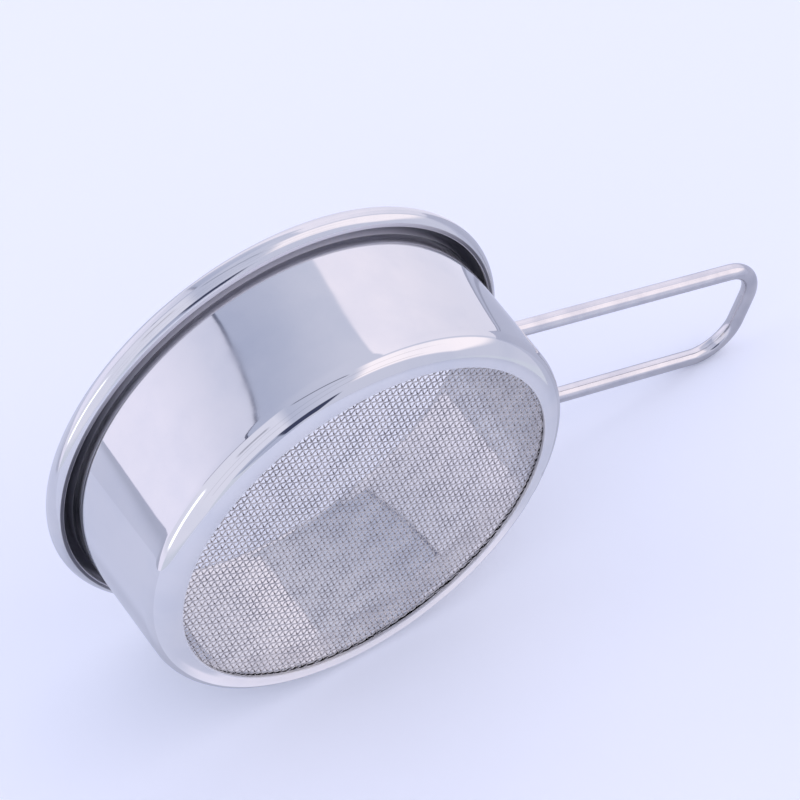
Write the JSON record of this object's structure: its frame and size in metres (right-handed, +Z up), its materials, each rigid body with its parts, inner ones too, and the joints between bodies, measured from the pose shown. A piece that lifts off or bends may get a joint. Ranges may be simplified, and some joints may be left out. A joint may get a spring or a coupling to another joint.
{
  "type": "flour sifter",
  "caption": "Shallow round steel cup with a curled rim, a woven wire sieve for a bottom and a wire loop handle, for sifting flour by hand.",
  "frame": {"origin": "middle of the whole object's footprint, on the surface it stands on; the cup's axis stands 30.1 mm to -X of it", "axes": "+Z up, from the sieve towards the mouth; +X from the cup towards the end of the handle"},
  "size_m": [0.1498, 0.0896, 0.0315],
  "materials": {
    "polished_steel": "mirror polished stainless steel",
    "woven_steel": "drawn stainless wire, plain weave",
    "pressed_steel": "pressed stainless sheet, bright",
    "wire_steel": "bright drawn stainless wire",
    "weld_steel": "cleaned weld bead"
  },
  "bodies": {
    "root": {"body_shell": "polished_steel", "sieve_disc": "woven_steel", "retaining_hoop": "pressed_steel", "handle_wire": "wire_steel", "handle_weld_left": "weld_steel", "handle_weld_right": "weld_steel"}
  },
  "joints": []
}
